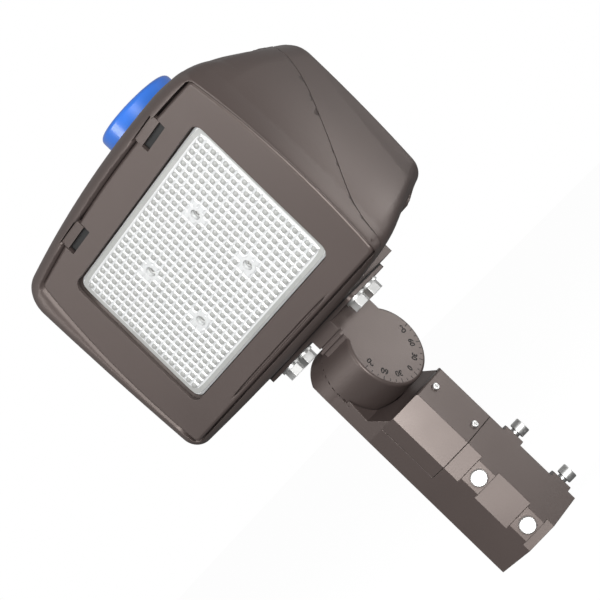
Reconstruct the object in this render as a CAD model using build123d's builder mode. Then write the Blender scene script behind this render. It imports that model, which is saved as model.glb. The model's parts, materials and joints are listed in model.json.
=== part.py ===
from build123d import *
import os
from math import cos, pi, sqrt

# LED area floodlight on a tilting slip fitter, in millimetres.
# +Z runs from the sleeve's open end to the far end of the head, the lens faces -Y,
# and the origin is the centre of the tenon bore's open end.

# General clearances and walls
screw_fit = 0.05
running_fit = 0.06
part_gap = 0.4

# Sleeve that goes over the pipe tenon
tenon_d = 60.3
tenon_fit = 0.35
sleeve_flats = 74.0
sleeve_corner_leg = 18.5
tenon_depth = 85.0
cable_hole_r = 20.0
sleeve_top = 142.0

# Knuckle joint
pivot_z = 183.4
parting_x = -7.5
parting_gap = 0.3
ear_outer_x = -30.0
ear_r = 33.5
ear_slope_z = 158.0
ear_round = 4.0
drum_r = 34.5
drum_seat_gap = 0.8
disc_x = 33.0
disc_round = 2.5
neck_x = 3.0
neck_half_y = 23.0
wire_hole_r = 9.0
tooth_count = 36
tooth_depth = 1.0
tooth_ring_r = 25.0

# Saddle web between the ear and the drum, on the sleeve's two flat sides
web_x = -4.0
web_shoulder_z = 154.0
web_foot_x = 14.7

# Pivot bolt
pivot_bolt_r = 6.0
pivot_head_r = 9.0
pivot_head_h = 7.0
pivot_washer_t = 2.0
pivot_engagement = 24.0

# Wiring cover on the sleeve
cover_seam_z = 89.0
cover_edge_x = 2.0
cover_wall = 3.2
cover_gasket_t = 1.0
pocket_half_y = 14.0
cover_gasket_land = 2.6
pocket_floor_x = -18.0
pocket_margin = 9.5
cover_screw_inset = 5.5
cover_screw_r = 1.6
cover_screw_head_r = 3.0
cover_screw_head_h = 2.0
cover_screw_length = 9.0

# Clamp screws for the tenon
clamp_heights = (16.0, 66.0)
clamp_pad_raise = 3.5
clamp_pad_half = 8.6
clamp_screw_r = 4.0
clamp_head_r = 6.5
clamp_head_h = 8.0
clamp_head_lift = 2.1
clamp_tip_clear = 0.6
clamp_socket_af = 6.0

# Flange and its bolts
flange_half_x = 64.0
flange_front_y = -23.0
flange_back_y = 31.0
flange_t = 3.0
flange_corner_r = 6.0
flange_z = 226.5
gasket_t = 1.0
bolt_x = 52.0
bolt_front_y = -5.5
bolt_back_y = 13.5
bolt_r = 4.0
bolt_head_af = 13.0
bolt_head_h = 7.4
bolt_washer_r = 8.6
bolt_washer_t = 2.2
bolt_length = 16.0
bar_low_z = 213.0
bar_high_z = 215.5
groove_high_z = 217.5
bar_proud = 2.0
web_top_drop = 6.0
wire_way_depth = 30.0
bolt_slack = 0.3
groove_depth = 2.0

# Head: outline of the front rim, which the whole casting tapers back from
rim_y = -53.0
front_plane_y = -35.0
back_plane_y = 76.0
rim_round = 12.0
rim_near_half = 157.0
rim_side_half = 164.8
rim_far_half = 168.5
rim_near_side_z = 233.0
rim_near_mid_z = 229.8
rim_side_z = 330.0
rim_far_side_z = 424.0
rim_far_mid_z = 434.0
rim_near_r = 16.0
rim_far_r = 26.0
taper_near_half = 26.0
taper_side_half = 28.4
taper_far_half = 32.6
taper_near_side_z = 24.0
taper_near_mid_z = 16.0
taper_far_side_z = 30.0
taper_far_mid_z = 34.0
crown_y = 73.0
crown_side_x = 138.0
crown_drop = 12.0
back_round = 8.0
head_wall = 3.2
cover_seal_t = 1.2

# Diagonal seam between housing and rear cover
seam_points = ((-38.5, 222.0), (-37.0, 266.0), (-21.5, 295.0), (7.5, 339.0), (28.0, 371.0), (34.5, 392.0))
seam_corner = (42.0, 399.0)
seam_end_y = 95.0
seam_tongue = 5.0

# Pad that carries the flange
pad_half_x = 70.0
pad_front_y = -41.0
pad_back_y = 40.0
pad_inner_z = 258.0

# Heat-sink plate and rear compartment
plate_front_y = -38.0
plate_back_y = -33.0
recess_ledge_y = -42.0
recess_ledge_z = 241.0

# Front frame
frame_near_half = 143.2
frame_side_half = 147.8
frame_far_half = 138.0
frame_near_z = 237.0
frame_side_z = 312.0
frame_far_side_z = 414.5
frame_far_mid_z = 422.0
frame_corner_r = 5.0
frame_gap = 1.3
frame_mid_y = -49.0
frame_side_y = -53.0
frame_skin = 3.0
frame_skirt = 3.0
frame_back_y = -44.0
frame_edge_round = 2.5
hinge_y = -48.6
hinge_z = 241.0
hinge_pin_r = 1.25
hinge_pin_inner_x = 138.0
hinge_pin_outer_x = 149.0

# Lens and light engine
lens_half_x = 110.0
lens_near_z = 260.3
lens_far_z = 393.0
lens_front_y = -46.7
lens_corner_r = 7.5
lens_bevel = 2.0
lens_wall = 5.0
lens_skin = 2.6
lens_opening_gap = 1.0
lens_screw_x = 40.0
lens_screw_z = (299.0, 353.0)
lens_boss_r = 6.0
lens_screw_r = 2.0
lens_screw_head_r = 3.8
lens_screw_head_h = 2.2
lens_screw_seat_y = -42.4
lens_gasket_t = 1.5
lens_gasket_w = 4.0
lens_thread = 4.0
board_margin = 1.0
dome_columns = 28
dome_rows = 19
dome_border = 6.5
dome_rise = 1.3
dome_groove_w = 2.4
lens_ring_r = 7.0
led_strip_w = 2.8
led_strip_h = 0.7

# Latches at the frame's far end
latch_x = 70.0
latch_pad_w = 30.4
latch_pad_low_z = 415.3
latch_pad_high_z = 423.0
latch_plate_half = 18.0
latch_plate_low_z = 410.5
latch_plate_front_y = -46.2
latch_plate_t = 2.6
latch_tongue_half = 10.0
latch_tongue_z = 425.2
latch_slack = 0.4
latch_travel = 4.6
latch_slot_spare = 1.2
latch_ledge_z = 423.4
rail_w = 2.5
rail_low_z = 411.5
rail_high_z = 417.5
retainer_t = 1.4
retainer_half = 22.5

# Driver, surge protector, terminal block
driver_size = (170.0, 34.0, 56.0)
driver_z = 326.0
driver_tab = 6.0
driver_tab_t = 2.0
surge_size = (46.0, 30.0, 30.0)
surge_place = (-80.0, 275.0)
terminal_size = (60.0, 20.0, 22.0)
terminal_place = (72.0, 275.0)
cover_bolt_x = 112.0
cover_bolt_z = (292.0, 378.0)
cover_bolt_r = 2.5
cover_bolt_head_r = 4.6
cover_bolt_head_h = 3.4
cover_bolt_length = 16.0
pillar_r = 7.0
pillar_top_y = 59.5
boss_seat = 2.6

# Photocell and its receptacle
cell_y = 28.0
cell_r = 36.5
cell_top_z = 455.0
cell_low_z = 422.0
cell_wall = 2.2
cell_round = 4.0
cell_base_t = 3.0
cell_gasket_t = 1.0
socket_pad_r = 38.0
socket_pad_z = 416.0
socket_pad_low_z = 402.0
socket_scoop = 1.5
socket_r = 33.0
socket_flange_t = 4.0
socket_body_r = 23.0
socket_depth = 24.0
socket_ring_r = 28.0
socket_ring_t = 4.0
blade_r = 11.0
blade_w = 3.0
blade_arc = 34.0
blade_length = 16.0
blade_turn = 30.0
slot_play = 0.4
slot_swing = 4.0
cell_post_r = 2.0
cell_post_h = 4.0
cell_board_r = 29.0
cell_board_t = 1.6

os.makedirs("parts", exist_ok=True)

# Sizes that follow from the ones above
sleeve_half = sleeve_flats / 2
bore_r = tenon_d / 2 + tenon_fit
corner_reach = (sleeve_flats - sleeve_corner_leg) / sqrt(2)
pad_reach = corner_reach + clamp_pad_raise
flange_top_z = flange_z + flange_t
pad_z = flange_top_z + gasket_t
lens_mid_z = (lens_near_z + lens_far_z) / 2
lens_height = lens_far_z - lens_near_z
lens_back_y = plate_front_y - lens_gasket_t
ear_bolt_seat_x = ear_outer_x + pivot_head_h + pivot_washer_t + part_gap
bolt_places = [(x, y) for x in (-bolt_x, bolt_x) for y in (bolt_front_y, bolt_back_y)]
clamps = [(side, height) for side in (-1, 1) for height in clamp_heights]
cover_screw_z = (cover_seam_z + cover_screw_inset, sleeve_top - cover_screw_inset - 1.3)
flange_mid_y = (flange_front_y + flange_back_y) / 2
flange_depth = flange_back_y - flange_front_y
latch_sides = (-1, 1)
latch_pad_front_y = frame_mid_y - (frame_mid_y - frame_side_y) * (latch_x / frame_side_half) ** 2
latch_shoulder_z = frame_far_side_z + 4
latch_slot_low_z = latch_pad_low_z - latch_travel - latch_slot_spare
rail_back_y = latch_plate_front_y + latch_plate_t + latch_slack
rail_offset = latch_plate_half + latch_slack + rail_w / 2
rail_places = [side * latch_x + way * rail_offset for side in latch_sides for way in (-1, 1)]
lens_screw_places = [(x, z) for x in (-lens_screw_x, lens_screw_x) for z in lens_screw_z]
cover_bolt_places = [(x, z) for x in (-cover_bolt_x, cover_bolt_x) for z in cover_bolt_z]
cover_seat_y = pillar_top_y + boss_seat
dome_field_x = 2 * (lens_half_x - dome_border)
dome_field_z = lens_height - 2 * dome_border
dome_pitch_x = dome_field_x / dome_columns
dome_pitch_z = dome_field_z / dome_rows
board_half_x = lens_half_x - lens_gasket_w - board_margin
board_half_z = lens_height / 2 - lens_gasket_w - board_margin
socket_flange_z = socket_pad_z + cell_gasket_t
blade_angles = (0, 120, 240)


def pivot_plane(x):
    """A plane square to the tilt axis, with its origin on the axis and local x along +Y."""
    return Plane(origin=(x, 0, pivot_z), x_dir=(0, 1, 0), z_dir=(1, 0, 0))


def front_plane(y):
    """A plane facing the viewer of the lens: local x is +X and local y is +Z."""
    return Plane.XZ.offset(-y)


def cell_plane(z):
    return Plane(origin=(0, cell_y, z), x_dir=(1, 0, 0), z_dir=(0, 0, 1))


def clamp_plane(side, height, reach):
    """A plane square to one corner face, at a distance from the sleeve's axis."""
    out = (1 / sqrt(2), side / sqrt(2), 0)
    origin = (out[0] * reach, out[1] * reach, height)
    return Plane(origin=origin, x_dir=(0, 0, 1), z_dir=out)


def octagon(inset=0.0, raise_corners=0.0, mode=Mode.ADD):
    """The sleeve's section, drawn in by a wall or with its corner faces pushed out."""
    half = sleeve_half - inset
    leg = sleeve_corner_leg - (2 - sqrt(2)) * inset - sqrt(2) * raise_corners
    flat = half - leg
    corners = ((half, -flat), (half, flat), (flat, half), (-flat, half))
    opposite = tuple((-x, -y) for x, y in corners)
    return Polygon(*corners, *opposite, align=None, mode=mode)


def serration(start_x, depth):
    """Grooves between the teeth of one half of the joint, as a cutter."""
    half_groove = pi * drum_r / tooth_count / 2
    with BuildPart() as cutter:
        with BuildSketch(pivot_plane(start_x)):
            with PolarLocations(0, tooth_count):
                Polygon(
                    (tooth_ring_r, 0),
                    (drum_r + 2, -half_groove),
                    (drum_r + 2, half_groove),
                    align=None,
                )
        extrude(amount=depth)
    return cutter.part


def head_outline(taper, inset):
    """Outline of the head across Y: four shallow arcs that meet in sharp corners."""
    near_half = rim_near_half - taper * taper_near_half - inset
    side_half = rim_side_half - taper * taper_side_half - inset
    far_half = rim_far_half - taper * taper_far_half - inset
    near_side_z = rim_near_side_z + taper * taper_near_side_z + inset
    near_mid_z = rim_near_mid_z + taper * taper_near_mid_z + inset
    far_side_z = rim_far_side_z - taper * taper_far_side_z - inset
    far_mid_z = rim_far_mid_z - taper * taper_far_mid_z - inset
    near_left, near_right = (-near_half, near_side_z), (near_half, near_side_z)
    far_left, far_right = (-far_half, far_side_z), (far_half, far_side_z)
    with BuildSketch(mode=Mode.PRIVATE) as outline:
        with BuildLine():
            ThreePointArc(near_left, (0, near_mid_z), near_right)
            ThreePointArc(near_right, (side_half, rim_side_z), far_right)
            ThreePointArc(far_right, (0, far_mid_z), far_left)
            ThreePointArc(far_left, (-side_half, rim_side_z), near_left)
        make_face()
    return outline.sketch


def head_form(inset):
    """The head's outer shape drawn in by a wall: tapered back, round rim, crowned back."""
    mid_plane_y = (front_plane_y + back_plane_y) / 2
    sections = ((rim_y + inset, 0), (front_plane_y, 0), (mid_plane_y, 0.5), (back_plane_y, 1))
    with BuildPart() as form:
        for y, taper in sections:
            with BuildSketch(front_plane(y)):
                add(head_outline(taper, inset))
        loft()
        corners = form.edges().filter_by(lambda edge: edge.bounding_box().size.Y > crown_y)
        fillet(corners.sort_by(Axis.Z)[:2], rim_near_r - inset)
        corners = form.edges().filter_by(lambda edge: edge.bounding_box().size.Y > crown_y)
        fillet(corners.sort_by(Axis.Z)[-2:], rim_far_r - inset)
        rim_edges = form.faces().sort_by(Axis.Y)[0].edges()
        fillet(rim_edges, rim_round - inset)
        with BuildSketch():
            wide, wide_y = 1.5 * crown_side_x, crown_y - 2.25 * crown_drop - inset
            with BuildLine():
                ThreePointArc((-wide, wide_y), (0, crown_y - inset), (wide, wide_y))
                Polyline((wide, wide_y), (wide, 2 * rim_y), (-wide, 2 * rim_y), (-wide, wide_y))
            make_face()
        extrude(amount=2 * rim_far_mid_z, mode=Mode.INTERSECT)
        back_edges = form.faces().sort_by(Axis.Y)[-1].edges()
        fillet(back_edges, back_round - inset)
    return form.part


def seam_prism(back, down, reach=200.0):
    """Everything behind the diagonal seam, shifted back and down from it."""
    points = [(y + back, z - down) for y, z in seam_points]
    corner = (seam_corner[0] + back, seam_corner[1] - down)
    end = (seam_end_y, corner[1] + 2)
    with BuildPart() as prism:
        with BuildSketch(Plane.YZ):
            with BuildLine():
                curve = Spline(*points)
                Polyline(points[-1], corner, end, (seam_end_y, points[0][1]), points[0])
            make_face()
        extrude(amount=reach, both=True)
    return prism.part


def frame_outline(grow):
    """Outline of the front frame, or with grow of the opening in the rim round it."""
    near_z = frame_near_z - grow
    near_half = frame_near_half + grow
    far_half = frame_far_half + grow
    near_left, near_right = (-near_half, near_z), (near_half, near_z)
    far_left = (-far_half, frame_far_side_z + grow)
    far_right = (far_half, frame_far_side_z + grow)
    side_half = frame_side_half + grow
    with BuildSketch(mode=Mode.PRIVATE) as outline:
        with BuildLine():
            Line(near_left, near_right)
            ThreePointArc(near_right, (side_half, frame_side_z), far_right)
            ThreePointArc(far_right, (0, frame_far_mid_z + grow), far_left)
            ThreePointArc(far_left, (-side_half, frame_side_z), near_left)
        make_face()
        fillet(outline.vertices(), frame_corner_r + grow)
    return outline.sketch


def dished_band(front_shift, back_y):
    """Plan view of the frame: the dished front, shifted back, closed at a flat back."""
    half = frame_side_half + 2
    side_y, mid_y = frame_side_y + front_shift, frame_mid_y + front_shift
    with BuildSketch(mode=Mode.PRIVATE) as band:
        with BuildLine():
            ThreePointArc((-half, side_y), (0, mid_y), (half, side_y))
            Polyline((half, side_y), (half, back_y), (-half, back_y), (-half, side_y))
        make_face()
    return band.sketch


def arc_slot(middle, sweep, play):
    """A piece of a ring round the photocell's axis, as a sketch."""
    inner, outer = blade_r - blade_w / 2 - play, blade_r + blade_w / 2 + play
    start = middle - sweep / 2
    with BuildSketch(mode=Mode.PRIVATE) as slot:
        with BuildLine():
            low = CenterArc((0, 0), inner, start, sweep)
            high = CenterArc((0, 0), outer, start, sweep)
            Line(low @ 0, high @ 0)
            Line(low @ 1, high @ 1)
        make_face()
    return slot.sketch


# Slip-fitter sleeve: octagonal tube, splice pocket, and the ear of the tilting joint
with BuildPart() as slipfitter_sleeve:
    with BuildSketch():
        octagon()
    extrude(amount=pivot_z + ear_r)
    with BuildSketch(Plane.YZ):
        with BuildLine():
            Polyline((-ear_r, pivot_z), (-sleeve_half, sleeve_top), (-sleeve_half, 0), (sleeve_half, 0))
            Polyline((sleeve_half, 0), (sleeve_half, sleeve_top), (ear_r, pivot_z))
            ThreePointArc((ear_r, pivot_z), (0, pivot_z + ear_r), (-ear_r, pivot_z))
        make_face()
    extrude(amount=sleeve_half, both=True, mode=Mode.INTERSECT)
    with BuildSketch(Plane.XZ):
        Polygon(
            (-sleeve_half, 0),
            (-sleeve_half, sleeve_top),
            (ear_outer_x, ear_slope_z),
            (ear_outer_x, pivot_z + ear_r),
            (parting_x, pivot_z + ear_r),
            (parting_x, pivot_z),
            (web_x, pivot_z - web_top_drop),
            (web_x, web_shoulder_z),
            (web_foot_x, sleeve_top),
            (sleeve_half, sleeve_top),
            (sleeve_half, 0),
            align=None,
        )
    extrude(amount=sleeve_half, both=True, mode=Mode.INTERSECT)
    ear_edges = slipfitter_sleeve.edges().filter_by(GeomType.CIRCLE).group_by(Axis.X)[0]
    fillet(ear_edges, ear_round)
    # Seat of the drum, teeth and pivot bore
    with BuildSketch(pivot_plane(parting_x)):
        Circle(drum_r + drum_seat_gap)
    extrude(amount=sleeve_flats, mode=Mode.SUBTRACT)
    add(serration(parting_x, -tooth_depth), mode=Mode.SUBTRACT)
    with BuildSketch(pivot_plane(ear_outer_x)):
        Circle(pivot_bolt_r + running_fit)
    extrude(amount=sleeve_half, mode=Mode.SUBTRACT)
    with BuildSketch(pivot_plane(ear_bolt_seat_x)):
        Circle(pivot_head_r + part_gap)
    extrude(amount=-sleeve_half, mode=Mode.SUBTRACT)
    # Raised pads of the clamp screws, on the two corner faces towards +X
    for height in clamp_heights:
        with BuildSketch(Plane.XY.offset(height - clamp_pad_half)):
            octagon(raise_corners=clamp_pad_raise)
            with Locations((-sleeve_flats, 0)):
                Rectangle(2 * sleeve_flats, 2 * sleeve_flats, mode=Mode.SUBTRACT)
        extrude(amount=2 * clamp_pad_half)
    for side, height in clamps:
        with BuildSketch(clamp_plane(side, height, pad_reach)):
            Circle(clamp_screw_r + running_fit)
        extrude(amount=-sleeve_half / 2, mode=Mode.SUBTRACT)
    # Tenon bore, cable hole and splice pocket
    with BuildSketch():
        Circle(bore_r)
    extrude(amount=tenon_depth, mode=Mode.SUBTRACT)
    with BuildSketch(Plane.XY.offset(tenon_depth)):
        Circle(cable_hole_r)
    extrude(amount=cover_seam_z - tenon_depth + pocket_margin + 2, mode=Mode.SUBTRACT)
    with BuildSketch(Plane.YZ.offset(pocket_floor_x)):
        with Locations((0, (cover_seam_z + sleeve_top) / 2)):
            RectangleRounded(2 * pocket_half_y, sleeve_top - cover_seam_z - 2 * pocket_margin, 4)
    extrude(amount=sleeve_flats, mode=Mode.SUBTRACT)
    # Rebate for the wiring cover, and its screw holes
    with BuildSketch(Plane.XY.offset(cover_seam_z)):
        with Locations((cover_edge_x + sleeve_half, 0)):
            Rectangle(sleeve_flats, 2 * sleeve_flats)
        octagon(inset=cover_wall + cover_gasket_t, mode=Mode.SUBTRACT)
    extrude(amount=sleeve_top - cover_seam_z, mode=Mode.SUBTRACT)
    with BuildSketch(Plane.YZ.offset(sleeve_half)):
        with Locations(*((0, z) for z in cover_screw_z)):
            Circle(cover_screw_r + screw_fit)
    extrude(amount=-cover_screw_length - 1, mode=Mode.SUBTRACT)
slipfitter_sleeve.part.label = "slipfitter_sleeve"
export_step(slipfitter_sleeve.part, "parts/slipfitter_sleeve.step")

# Wiring cover: half of the octagon's shell, with sunk screw seats
with BuildPart() as wiring_cover:
    with BuildSketch(Plane.XY.offset(cover_seam_z + part_gap)):
        octagon()
        with Locations((cover_edge_x + part_gap - sleeve_flats, 0)):
            Rectangle(2 * sleeve_flats, 2 * sleeve_flats, mode=Mode.SUBTRACT)
        octagon(inset=cover_wall, mode=Mode.SUBTRACT)
    extrude(amount=sleeve_top - cover_seam_z - part_gap)
    with BuildSketch(Plane.YZ.offset(sleeve_half)):
        with Locations(*((0, z) for z in cover_screw_z)):
            Circle(cover_screw_r + screw_fit)
    extrude(amount=-2 * cover_wall, mode=Mode.SUBTRACT)
    rim = wiring_cover.faces().sort_by(Axis.Z)[-1].edges().filter_by(Axis.Y).sort_by(Axis.X)[-1]
    chamfer(rim, cover_wall / 3)
wiring_cover.part.label = "wiring_cover"
export_step(wiring_cover.part, "parts/wiring_cover.step")

with BuildPart() as wiring_cover_gasket:
    with BuildSketch(Plane.YZ.offset(sleeve_half - cover_wall)):
        gasket_mid = (0, (cover_seam_z + sleeve_top) / 2)
        pocket_h = sleeve_top - cover_seam_z - 2 * pocket_margin
        with Locations(gasket_mid):
            Rectangle(2 * (pocket_half_y + cover_gasket_land), sleeve_top - cover_seam_z - 2 * part_gap)
            RectangleRounded(2 * pocket_half_y, pocket_h, 4, mode=Mode.SUBTRACT)
        with Locations(*((0, z) for z in cover_screw_z)):
            Circle(cover_screw_r + part_gap, mode=Mode.SUBTRACT)
    extrude(amount=-cover_gasket_t)
wiring_cover_gasket.part.label = "wiring_cover_gasket"
export_step(wiring_cover_gasket.part, "parts/wiring_cover_gasket.step")

with BuildPart() as wiring_cover_screws:
    with BuildSketch(Plane.YZ.offset(sleeve_half)):
        with Locations(*((0, z) for z in cover_screw_z)):
            Circle(cover_screw_head_r)
    extrude(amount=cover_screw_head_h)
    heads = wiring_cover_screws.faces().sort_by(Axis.X)[-2:]
    fillet(heads.edges(), cover_screw_head_h / 3)
    with BuildSketch(Plane.YZ.offset(sleeve_half)):
        with Locations(*((0, z) for z in cover_screw_z)):
            Circle(cover_screw_r)
    extrude(amount=-cover_screw_length)
    with BuildSketch(Plane.YZ.offset(sleeve_half + cover_screw_head_h)):
        with Locations(*((0, z) for z in cover_screw_z)):
            Rectangle(cover_screw_head_r, cover_screw_head_r / 4)
            Rectangle(cover_screw_head_r / 4, cover_screw_head_r)
    extrude(amount=-cover_screw_head_h / 2, mode=Mode.SUBTRACT)
wiring_cover_screws.part.label = "wiring_cover_screws"
export_step(wiring_cover_screws.part, "parts/wiring_cover_screws.step")

# Clamp screws: socket heads on shanks that run in through the pads
shank = clamp_head_lift + pad_reach - bore_r - clamp_tip_clear
for number, (side, height) in enumerate(clamps, start=1):
    with BuildPart() as clamp_screw:
        head_plane = clamp_plane(side, height, pad_reach + clamp_head_lift)
        with BuildSketch(head_plane):
            Circle(clamp_head_r)
        extrude(amount=clamp_head_h)
        chamfer(clamp_screw.edges().filter_by(GeomType.CIRCLE), 0.6)
        with BuildSketch(head_plane):
            Circle(clamp_screw_r)
        extrude(amount=-shank)
        with BuildSketch(head_plane.offset(clamp_head_h)):
            RegularPolygon(clamp_socket_af / 2, 6, major_radius=False)
        extrude(amount=-clamp_head_h / 2, mode=Mode.SUBTRACT)
    clamp_screw.part.label = f"clamp_screw_{number}"
    export_step(clamp_screw.part, f"parts/clamp_screw_{number}.step")

# Knuckle: drum with the scale disc, neck and flange in one casting
with BuildPart() as knuckle:
    with BuildSketch(pivot_plane(parting_x + parting_gap)):
        Circle(drum_r)
    extrude(amount=disc_x - parting_x - parting_gap)
    fillet(knuckle.edges().filter_by(GeomType.CIRCLE).sort_by(Axis.X)[-1], disc_round)
    with BuildSketch(Plane.YZ.offset(neck_x)):
        with Locations((0, (pivot_z + flange_z) / 2)):
            Rectangle(2 * neck_half_y, flange_z - pivot_z)
    extrude(amount=disc_x - neck_x)
    with BuildSketch(Plane.XY.offset(flange_z)):
        with Locations((0, flange_mid_y)):
            RectangleRounded(2 * flange_half_x, flange_depth, flange_corner_r)
    extrude(amount=flange_t)
    # Bar and groove across the neck's front
    with BuildSketch(Plane.YZ.offset(neck_x)):
        with Locations((-neck_half_y - bar_proud / 2, (bar_low_z + bar_high_z) / 2)):
            Rectangle(bar_proud + 1, bar_high_z - bar_low_z)
    extrude(amount=disc_x - neck_x)
    with BuildSketch(Plane.YZ.offset(neck_x)):
        with Locations((-neck_half_y, (bar_high_z + groove_high_z) / 2)):
            Rectangle(2 * groove_depth, groove_high_z - bar_high_z)
    extrude(amount=disc_x - neck_x, mode=Mode.SUBTRACT)
    # Teeth, pivot thread, wire way and bolt holes
    add(serration(parting_x + parting_gap, tooth_depth), mode=Mode.SUBTRACT)
    with BuildSketch(pivot_plane(parting_x + parting_gap)):
        Circle(pivot_bolt_r + screw_fit)
    extrude(amount=pivot_engagement + 1, mode=Mode.SUBTRACT)
    with BuildSketch(Plane.XY.offset(flange_top_z)):
        with Locations(((neck_x + disc_x) / 2, 0)):
            Circle(wire_hole_r)
    extrude(amount=-wire_way_depth, mode=Mode.SUBTRACT)
    with BuildSketch(Plane.XY.offset(flange_top_z)):
        with Locations(*bolt_places):
            Circle(bolt_r + bolt_slack)
    extrude(amount=-flange_t, mode=Mode.SUBTRACT)
knuckle.part.label = "knuckle"
export_step(knuckle.part, "parts/knuckle.step")

with BuildPart() as pivot_bolt:
    with BuildSketch(pivot_plane(ear_bolt_seat_x - pivot_washer_t - part_gap / 2)):
        Circle(pivot_head_r)
    extrude(amount=-pivot_head_h)
    chamfer(pivot_bolt.edges().filter_by(GeomType.CIRCLE).sort_by(Axis.X)[0], 0.8)
    with BuildSketch(pivot_plane(ear_bolt_seat_x - pivot_washer_t - part_gap / 2)):
        Circle(pivot_bolt_r)
    extrude(amount=parting_x + pivot_engagement - ear_bolt_seat_x + pivot_washer_t)
    with BuildSketch(pivot_plane(ear_outer_x - pivot_head_h)):
        RegularPolygon(pivot_head_r / 2, 6, major_radius=False)
    extrude(amount=1.5 * pivot_head_h, mode=Mode.SUBTRACT)
pivot_bolt.part.label = "pivot_bolt"
export_step(pivot_bolt.part, "parts/pivot_bolt.step")

with BuildPart() as pivot_washer:
    with BuildSketch(pivot_plane(ear_bolt_seat_x)):
        Circle(pivot_head_r)
        Circle(pivot_bolt_r + running_fit, mode=Mode.SUBTRACT)
    extrude(amount=-pivot_washer_t)
pivot_washer.part.label = "pivot_washer"
export_step(pivot_washer.part, "parts/pivot_washer.step")

# Gasket, washers and bolts of the flange
with BuildPart() as flange_gasket:
    with BuildSketch(Plane.XY.offset(flange_top_z)):
        with Locations((0, flange_mid_y)):
            RectangleRounded(2 * flange_half_x, flange_depth, flange_corner_r)
        with Locations(((neck_x + disc_x) / 2, 0)):
            Circle(wire_hole_r, mode=Mode.SUBTRACT)
        with Locations(*bolt_places):
            Circle(bolt_r + bolt_slack, mode=Mode.SUBTRACT)
    extrude(amount=gasket_t)
flange_gasket.part.label = "flange_gasket"
export_step(flange_gasket.part, "parts/flange_gasket.step")

with BuildPart() as flange_washers:
    with BuildSketch(Plane.XY.offset(flange_z)):
        with Locations(*bolt_places):
            Circle(bolt_washer_r)
            Circle(bolt_r + screw_fit, mode=Mode.SUBTRACT)
    extrude(amount=-bolt_washer_t)
flange_washers.part.label = "flange_washers"
export_step(flange_washers.part, "parts/flange_washers.step")

with BuildPart() as flange_bolts:
    with BuildSketch(Plane.XY.offset(flange_z - bolt_washer_t)):
        with Locations(*bolt_places):
            RegularPolygon(bolt_head_af / 2, 6, major_radius=False)
    extrude(amount=-bolt_head_h)
    with BuildSketch(Plane.XY.offset(flange_z - bolt_washer_t)):
        with Locations(*bolt_places):
            Circle(bolt_r)
    extrude(amount=bolt_washer_t + flange_t + gasket_t + bolt_length)
flange_bolts.part.label = "flange_bolts"
export_step(flange_bolts.part, "parts/flange_bolts.step")

# Forms that the head's two shells are cut from
outer_form = head_form(0)
cover_inner_form = head_form(head_wall)
tongue_form = head_form(head_wall + part_gap)
cavity_form = head_form(2 * head_wall + part_gap)

# Main housing: rim, heat-sink plate, side walls, far-end wall and the flange's pad
with BuildPart() as tongue:
    add(tongue_form)
    add(seam_prism(seam_tongue, seam_tongue), mode=Mode.SUBTRACT)

with BuildPart() as plate:
    add(cavity_form)
    with BuildSketch(front_plane(plate_back_y)):
        with Locations((0, rim_side_z)):
            Rectangle(3 * rim_far_half, 3 * rim_far_half)
    extrude(amount=plate_back_y - plate_front_y + 1, mode=Mode.INTERSECT)

with BuildPart() as rear_space:
    add(cavity_form)
    with BuildSketch(front_plane(plate_back_y)):
        with Locations((0, rim_side_z)):
            Rectangle(3 * rim_far_half, 3 * rim_far_half)
    extrude(amount=-2 * back_plane_y, mode=Mode.INTERSECT)

with BuildPart() as pillars:
    with BuildSketch(front_plane(plate_back_y)):
        with Locations(*cover_bolt_places):
            Circle(pillar_r)
    extrude(amount=plate_back_y - pillar_top_y)
    with BuildSketch(front_plane(pillar_top_y)):
        with Locations(*cover_bolt_places):
            Circle(cover_bolt_r + screw_fit)
    extrude(amount=cover_bolt_length, mode=Mode.SUBTRACT)

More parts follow.
